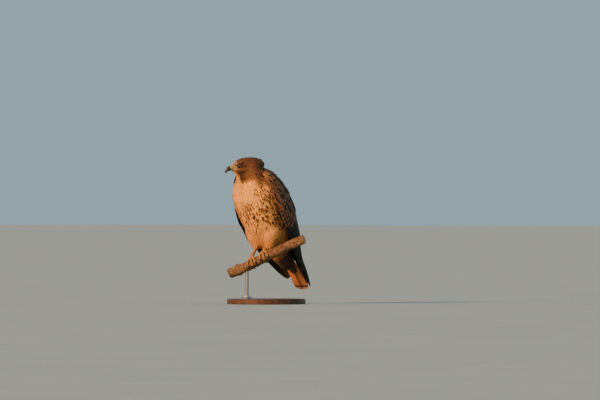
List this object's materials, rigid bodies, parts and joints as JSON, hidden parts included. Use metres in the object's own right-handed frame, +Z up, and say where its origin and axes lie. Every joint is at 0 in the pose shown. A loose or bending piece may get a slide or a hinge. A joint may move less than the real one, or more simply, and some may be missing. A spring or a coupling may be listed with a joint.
{
  "type": "perched red-tailed hawk display model",
  "caption": "Life-size still model of a red-tailed hawk gripping a short cut branch, on a plain display stand.",
  "frame": {"origin": "centre of the underside of the stand's base", "axes": "+Z up, -Y the way the bird's body faces, +X towards the bird's left"},
  "size_m": [0.2855, 0.3475, 0.4848],
  "materials": {
    "feathers_breast": "soft buff body feathers with dark streaks",
    "feathers_head": "short rufous-brown feathers",
    "feathers_wing": "dark brown feathers with pale mottling and edges",
    "feathers_tail": "rufous tail feathers with a dark band near the tip",
    "feathers_leg": "buff leg feathers",
    "foot_skin": "yellow scaled skin",
    "cere": "smooth dull yellow skin",
    "horn": "smooth dark horn",
    "eye": "wet, dark brown",
    "bark": "thin grey-brown bark",
    "stand_wood": "dark satin wood",
    "stand_steel": "satin"
  },
  "bodies": {
    "root": {"cere": "cere", "claw_hind_left": "horn", "claw_hind_right": "horn", "claw_inner_left": "horn", "claw_inner_right": "horn", "claw_middle_left": "horn", "claw_middle_right": "horn", "claw_outer_left": "horn", "claw_outer_right": "horn", "eye_left": "eye", "eye_right": "eye", "foot_left": "foot_skin", "foot_right": "foot_skin", "head": "feathers_head", "leg_left": "feathers_leg", "leg_right": "feathers_leg", "lower_bill": "horn", "neck": "feathers_head", "perch": "bark", "stand_base": "stand_wood", "stand_collar": "stand_steel", "stand_rod": "stand_steel", "tail": "feathers_tail", "torso": "feathers_breast", "upper_bill": "horn", "wing_left": "feathers_wing", "wing_right": "feathers_wing"}
  },
  "joints": []
}
